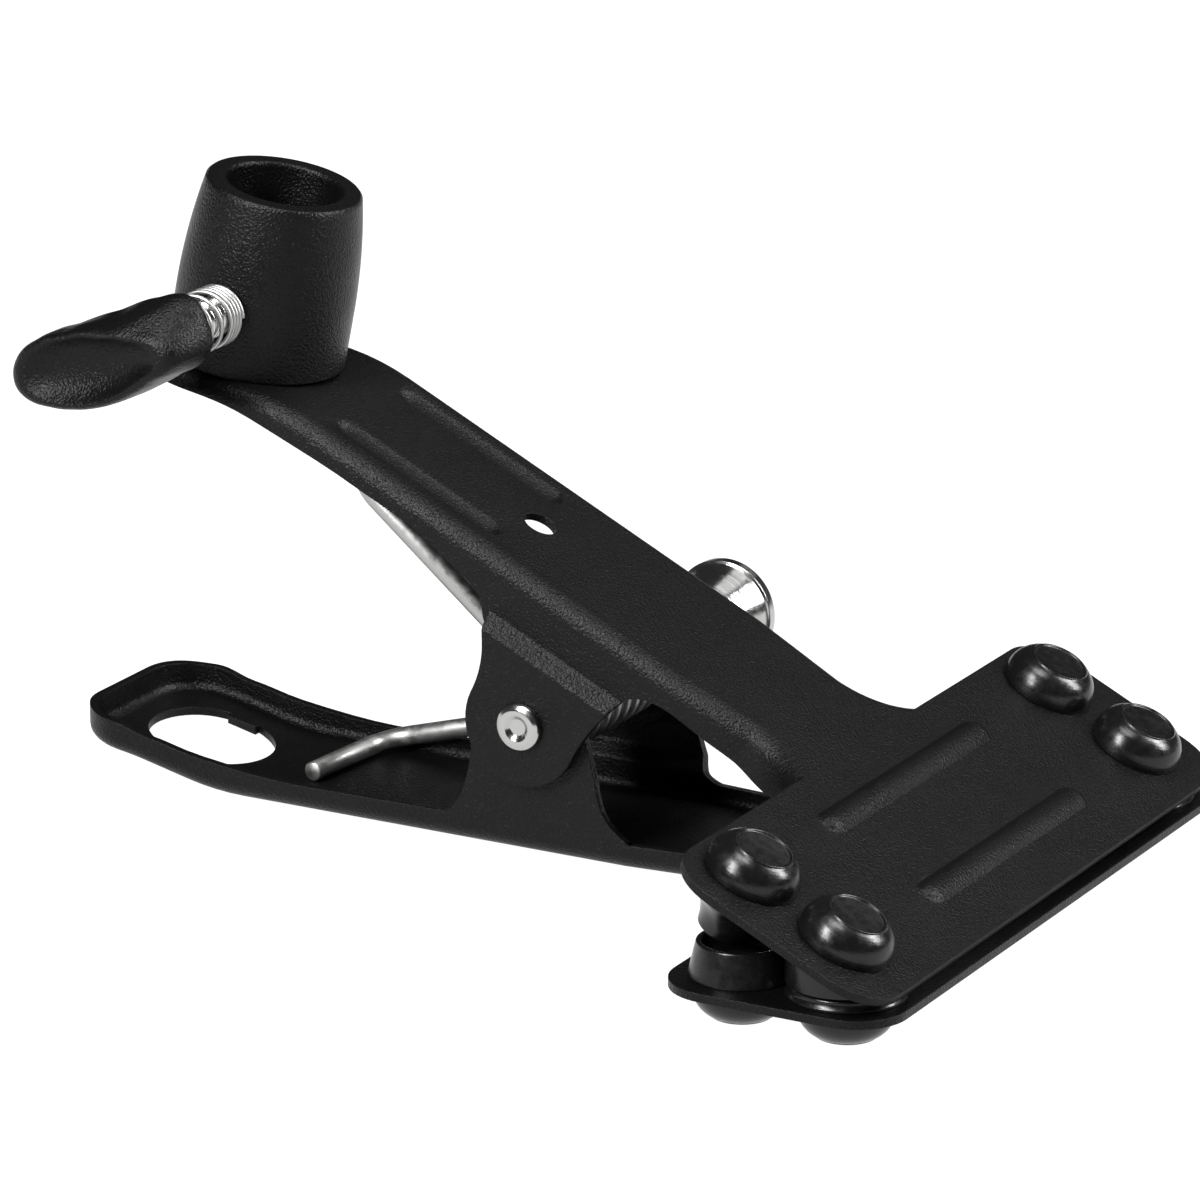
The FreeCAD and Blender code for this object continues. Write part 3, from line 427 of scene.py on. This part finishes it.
def tube(path, radius, around=20):
    """Builder of a closed round wire along points in metres, with slightly rounded ends."""
    def build(work):
        tangents = []
        for index, spot in enumerate(path):
            before = path[max(index - 1, 0)]
            after = path[min(index + 1, len(path) - 1)]
            tangents.append((after - before).normalized())
        side = tangents[0].orthogonal().normalized()
        frames = []
        for tangent in tangents:
            side = (side - tangent * side.dot(tangent)).normalized()
            frames.append((side, tangent.cross(side)))
        stations = [(path[0], frames[0], END_SCALE)]
        shift = radius * (1 - END_SCALE)
        stations.append((path[0] + tangents[0] * shift, frames[0], 1.0))
        stations += [(spot, frame_here, 1.0) for spot, frame_here in zip(path[1:-1], frames[1:-1])]
        stations.append((path[-1] - tangents[-1] * shift, frames[-1], 1.0))
        stations.append((path[-1], frames[-1], END_SCALE))
        rings = []
        for spot, (across, up), scale in stations:
            ring = []
            for index in range(around):
                angle = 2 * math.pi * index / around
                out = across * math.cos(angle) + up * math.sin(angle)
                ring.append(work.verts.new(spot + out * (radius * scale)))
            rings.append(ring)
        capped(work, rings)
    return build


LEG_BEND = 5.5
BEND_STEPS = 14
BEND_LEAD = 0.5


def bent_path(start, corner, end):
    """Points from start to end with one rounded bend near the corner, in millimetres."""
    into = (corner - start).normalized()
    out = (end - corner).normalized()
    turn = into.angle(out)
    back = LEG_BEND * math.tan(turn / 2)
    centre = corner + (out - into).normalized() * (LEG_BEND / math.cos(turn / 2))
    first = corner - into * back - centre
    last = corner + out * back - centre
    points = [start, corner - into * (back + BEND_LEAD)]
    for index in range(BEND_STEPS + 1):
        facing = first.normalized().slerp(last.normalized(), index / BEND_STEPS)
        points.append(centre + facing * LEG_BEND)
    return points + [corner + out * (back + BEND_LEAD), end]


WIRE_R = 1.45
COIL_R = 5.22
COIL_END = 12.4
COIL_START = math.radians(50.5)
COIL_TURNED = math.radians(3004.3)


def on_coil(share):
    """Spot on the torsion coil's centre line, from the upper leg's end (0) to the lower leg's end (1)."""
    angle = COIL_START - COIL_TURNED * share
    return Vector((COIL_R * math.cos(angle), COIL_END * (2 * share - 1), COIL_R * math.sin(angle)))


def placed(points, matrix):
    """Points in millimetres carried into the object's own frame, in metres."""
    return [matrix @ (Vector(spot) * MM) for spot in points]


def wire_piece(name, path, radius, body, replaced):
    """A wire along a path in metres that moves with one body."""
    mesh = mesh_of(name, tube(path, radius * MM))
    return finished(name, mesh, WIRE, body, replaced, 60.0)


def on_handle(x, y, w):
    """Spot given in the upper arm's own frame, carried into the lower arm's, in millimetres."""
    return Matrix.Rotation(JAW_PITCH, 3, "Y") @ Vector((x, y, w))


COIL_STEPS = 640
coil_path = placed([on_coil(index / COIL_STEPS) for index in range(COIL_STEPS + 1)], TO_ARM)
coil_mesh = mesh_of("torsion_coil", tube(coil_path, WIRE_R * MM))
coil_mesh.materials.append(WIRE)
for polygon in coil_mesh.polygons:
    polygon.use_smooth = True
coil = bpy.data.objects.new("torsion_coil", coil_mesh)
bpy.context.collection.objects.link(coil)
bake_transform(coil)
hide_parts("torsion_spring")
lower_leg = bent_path(on_coil(1.0), Vector((-38.9, COIL_END, -16.75)), Vector((-40.7, -5.9, -16.8)))
upper_leg = bent_path(on_coil(0.0), on_handle(-40.5, -COIL_END, 15.05), on_handle(-41.5, 6.0, 15.05))
wire_piece("torsion_lower_leg", placed(lower_leg, TO_ARM), WIRE_R, "lower", ["torsion_spring"])
wire_piece("torsion_upper_leg", placed(upper_leg, TO_ARM), WIRE_R, "upper", ["torsion_spring"])


# ---------------------------------------------------------------- wing lock

KNOB_FACE = 24.3
KNOB_DEPTH = 9.0
LOCK_WIRE_R = 0.31
LOCK_SPRING_R = 4.15
LOCK_SPRING_LOW = 12.98 + LOCK_WIRE_R
LOCK_SPRING_HIGH = KNOB_FACE - LOCK_WIRE_R
LOCK_CLOSE_PITCH = LOCK_WIRE_R * 2.5
LOCK_CLOSE_LOW = 4.0
LOCK_OPEN = 2.0
LOCK_CLOSE_HIGH = 3.0
LOCK_STEPS = 48
LOCK_CENTRE = LOCK + Vector((0, KNOB_FACE * MM, 0))
ONTO_Y = Matrix.Rotation(math.radians(90), 4, "X")
TO_LOCK = Matrix.Translation(LOCK_CENTRE) @ Matrix.Rotation(-REST_TILT, 4, "Y") @ ONTO_Y


def lock_spring_path():
    """Centre line of the lock spring: close turns at both ends and open ones between."""
    close = (LOCK_CLOSE_LOW + LOCK_CLOSE_HIGH) * LOCK_CLOSE_PITCH
    open_pitch = (LOCK_SPRING_HIGH - LOCK_SPRING_LOW - close) / LOCK_OPEN
    runs = (
        (LOCK_CLOSE_LOW, LOCK_CLOSE_PITCH), (LOCK_OPEN, open_pitch), (LOCK_CLOSE_HIGH, LOCK_CLOSE_PITCH))
    points = []
    height = LOCK_SPRING_LOW
    angle = 0.0
    for turns, pitch in runs:
        for _ in range(int(turns * LOCK_STEPS)):
            points.append(Vector((
                LOCK_SPRING_R * math.cos(angle), LOCK_SPRING_R * math.sin(angle), height)))
            angle += 2 * math.pi / LOCK_STEPS
            height += pitch / LOCK_STEPS
    return points


lock_spring = wire_piece(
    "lock_spring_wire", placed(lock_spring_path(), TO_LOCK), LOCK_WIRE_R, "lock_slider", ["lock_spring"])
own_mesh(lock_spring)


SCREW_LOW = 8.6
SCREW_HIGH = 29.0
SCREW_R = 2.97
THREAD_PITCH = 1.0
THREAD_DEPTH = 0.55
THREAD_CREST = 0.15


def threaded_rod(around=48, per_turn=12):
    """Builder of the lock screw: a rod with a single right-handed thread."""
    def build(work):
        length = SCREW_HIGH - SCREW_LOW
        count = int(length / THREAD_PITCH * per_turn)
        rings = []
        for row in range(count + 1):
            height = SCREW_LOW + length * row / count
            ring = []
            for index in range(around):
                angle = 2 * math.pi * index / around
                phase = (height / THREAD_PITCH - index / around) % 1.0
                cut = max(0.0, abs(phase - 0.5) * 2 - THREAD_CREST) / (1 - THREAD_CREST)
                own = SCREW_R - THREAD_DEPTH * cut
                spot = Vector((own * math.cos(angle), own * math.sin(angle), height)) * MM
                ring.append(work.verts.new(TO_LOCK @ spot))
            rings.append(ring)
        capped(work, rings)
    return build


screw_mesh = mesh_of("lock_screw", threaded_rod())
finished("lock_screw_thread", screw_mesh, PLATED, "wing", ["lock_screw"], 50.0)

WING_CENTRE = (10.0, -0.7)
WING_DROOP = math.radians(21.5)
WING_BACK = [
    (-6.3, 0.6), (-5.5, 3.8), (-3.2, 5.3), (0.5, 5.6), (6, 5.5), (12, 5.4), (17.5, 5.2), (21.5, 4.1),
    (23.9, 1.6), (24.3, -0.4), (22.6, -3.0), (18.6, -5.0), (14, -6.3), (9.5, -6.75), (5, -6.5),
    (0.5, -5.7), (-3.4, -5.1), (-5.8, -3.0),
]
WING_FRONT = [
    (-3.8, -2.4), (-3.1, -0.6), (-1.4, 0.9), (1.6, 2.2), (6.4, 3.8), (12.5, 5.2), (17.6, 5.3), (20.9, 4.5),
    (23.3, 2.6), (24.1, 0.8), (24.0, -1.0), (22.6, -2.9), (19, -4.8), (15, -6.05), (10.7, -6.7), (6.2, -6.4),
    (2, -5.4), (-1.4, -4.5), (-3.2, -3.6),
]


def polar_outline(points, centre, around):
    """Distances from the centre to a smooth closed curve through the points, at even angles."""
    marks = []
    for x, y in points:
        away = Vector((x - centre[0], y - centre[1]))
        marks.append((math.atan2(away.y, away.x) % (2 * math.pi), away.length))
    marks.sort()
    count = len(marks)
    wide = [(angle - 2 * math.pi, far) for angle, far in marks[-2:]] + marks
    wide += [(angle + 2 * math.pi, far) for angle, far in marks[:2]]
    slopes = [0.0] * len(wide)
    for index in range(1, count + 3):
        before, after = wide[index - 1], wide[index + 1]
        slopes[index] = (after[1] - before[1]) / (after[0] - before[0])
    distances = []
    for step in range(around):
        angle = 2 * math.pi * step / around
        index = max(i for i in range(1, count + 3) if wide[i][0] <= angle)
        span = wide[index + 1][0] - wide[index][0]
        share = (angle - wide[index][0]) / span
        left = 1 - share
        one = left ** 2 * ((1 + 2 * share) * wide[index][1] + share * span * slopes[index])
        two = share ** 2 * ((3 - 2 * share) * wide[index + 1][1] - left * span * slopes[index + 1])
        distances.append(one + two)
    return distances


def smooth_step(value, low, high):
    """Eases from 0 below low to 1 above high."""
    share = min(max((value - low) / (high - low), 0.0), 1.0)
    return share * share * (3 - 2 * share)


# each ring: share of the front outline, scale, share of the depth from back to front, sink in millimetres
WING_UNDER = [(0, 0.3, 0, 0), (0, 0.6, 0, 0), (0, 0.8, 0, 0), (0, 0.92, 0, -0.12), (0, 0.98, 0, -0.5)]
WING_SIDE = [(0.03, 1.0, 0.12, -0.6), (0.15, 1.0, 0.3, 0), (0.32, 1.0, 0.48, 0), (0.5, 1.0, 0.64, 0)]
WING_SHOULDER = [(0.68, 0.998, 1, 2.2), (0.8, 0.99, 1, 1.5), (0.9, 0.972, 1, 0.86), (0.96, 0.945, 1, 0.42)]
WING_RIM = [(1, 0.91, 1, 0.14), (1, 0.87, 1, 0.0), (1, 0.83, 1, 0.03), (1, 0.78, 1, 0.3)]
WING_DISH = [(1, 0.71, 1, 0.8), (1, 0.6, 1, 1.4), (1, 0.45, 1, 1.9), (1, 0.25, 1, 2.2)]
WING_RINGS = WING_UNDER + WING_SIDE + WING_SHOULDER + WING_RIM + WING_DISH
DISH_SINK = 2.3


def wing(around=144):
    """Builder of the wing: an egg-shaped dished paddle that grows out of a round boss."""
    def build(work):
        along = Vector((-math.cos(WING_DROOP), 0, -math.sin(WING_DROOP)))
        up = Vector((-math.sin(WING_DROOP), 0, math.cos(WING_DROOP)))
        base = TO_ARM.to_3x3()
        back_curve = polar_outline(WING_BACK, WING_CENTRE, around)
        front_curve = polar_outline(WING_FRONT, WING_CENTRE, around)

        def spot_at(x, y, share, sink):
            back = KNOB_FACE + 1.9 * smooth_step(x, 4.0, 7.0) + 2.4 * smooth_step(x, 5.0, 26.0)
            front = KNOB_FACE + KNOB_DEPTH - 0.5 * smooth_step(x, 14.0, 26.0)
            depth = back + (front - back) * share - sink
            away = (along * x + up * y) * MM
            return LOCK_CENTRE + base @ away + Vector((0, -depth * MM, 0))

        rings = []
        for mix, scale, share, sink in WING_RINGS:
            ring = []
            for index in range(around):
                angle = 2 * math.pi * index / around
                far = (back_curve[index] * (1 - mix) + front_curve[index] * mix) * scale
                x = WING_CENTRE[0] + far * math.cos(angle)
                y = WING_CENTRE[1] + far * math.sin(angle)
                ring.append(work.verts.new(spot_at(x, y, share, sink)))
            rings.append(ring)
        bridged(work, rings)
        for ring, share, sink in ((rings[0], 0, 0), (rings[-1], 1, DISH_SINK)):
            pole = work.verts.new(spot_at(WING_CENTRE[0], WING_CENTRE[1], share, sink))
            for index in range(around):
                work.faces.new([ring[index], ring[(index + 1) % around], pole])
    return build


wing_mesh = mesh_of("wing_knob", wing())
finished("wing_knob_casting", wing_mesh, CAST, "wing", ["wing_knob"], 50.0)


# ---------------------------------------------------------------- CAD pieces that show as they are

slot_of = {row["node"]: row["material_slot"] for row in frame["record"]["subparts"]}
for node, holder in frame["nodes"].items():
    if not holder.hide_render:
        holder.data.materials.clear()
        holder.data.materials.append(SLOT_MATERIALS[slot_of[node]])


# ---------------------------------------------------------------- floor, light and camera

def floor():
    """Wide pale floor under the clamp."""
    bpy.ops.mesh.primitive_plane_add(size=6.0, location=(0, 0, -0.0002))
    plane = bpy.context.object
    plane.name = "floor"
    material, nodes, links, shader = new_material("pale_floor")
    shader.inputs["Base Color"].default_value = (0.1, 0.1, 0.1, 1)
    shader.inputs["Roughness"].default_value = 0.9
    shader.inputs["Specular IOR Level"].default_value = 0.1
    shader.inputs["Emission Color"].default_value = (1, 1, 1, 1)
    shader.inputs["Emission Strength"].default_value = 1.0
    plane.data.materials.append(material)


AIM = Vector((0.0, 0.0, 0.03))


def area_light(name, azimuth, elevation, distance, width, height, power):
    """Soft box at an angle round the clamp's middle, facing it; sizes in metres, power in watts."""
    light = bpy.data.lights.new(name, "AREA")
    light.shape = "RECTANGLE"
    light.size = width
    light.size_y = height
    light.energy = power
    holder = bpy.data.objects.new(name, light)
    bpy.context.collection.objects.link(holder)
    turned = math.radians(azimuth)
    raised = math.radians(elevation)
    flat = math.cos(raised)
    out = Vector((math.sin(turned) * flat, -math.cos(turned) * flat, math.sin(raised)))
    holder.location = AIM + out * distance
    holder.rotation_euler = (-out).to_track_quat("-Z", "Y").to_euler()


floor()
area_light("top_box", 14, 77, 1.2, 0.5, 0.35, 10.0)
area_light("back_box", 172, 50, 1.1, 0.5, 0.4, 1.2)
area_light("left_box", -17, 38, 0.9, 0.2, 0.6, 17.0)
area_light("right_box", 116, 36, 0.9, 0.2, 0.6, 14.0)
world = bpy.data.worlds.new("studio")
bpy.context.scene.world = world
world.use_nodes = True
world.node_tree.nodes["Background"].inputs["Color"].default_value = (1, 1, 1, 1)
world.node_tree.nodes["Background"].inputs["Strength"].default_value = 0.035

CAMERA_AZIMUTH = math.radians(27.494)
CAMERA_DROP = math.radians(18.524)
CAMERA_ROLL = math.radians(2.928)
CAMERA_DISTANCE = 0.99375
CAMERA_AIM = PIVOT + Vector((2.744, -0.497, 14.577)) * MM
lens = bpy.data.cameras.new("camera")
lens.lens = 211.47
lens.sensor_width = 36.0
lens.clip_end = 20.0
camera = bpy.data.objects.new("camera", lens)
bpy.context.collection.objects.link(camera)
swing = Matrix.Rotation(CAMERA_AZIMUTH, 4, "Z")
lean = Matrix.Rotation(math.radians(90) - CAMERA_DROP, 4, "X")
turn = swing @ lean @ Matrix.Rotation(CAMERA_ROLL, 4, "Z")
stand_off = Matrix.Translation((0, 0, CAMERA_DISTANCE))
camera.matrix_world = Matrix.Translation(CAMERA_AIM) @ turn @ stand_off
bpy.context.scene.camera = camera
bpy.context.scene.view_settings.view_transform = "Standard"
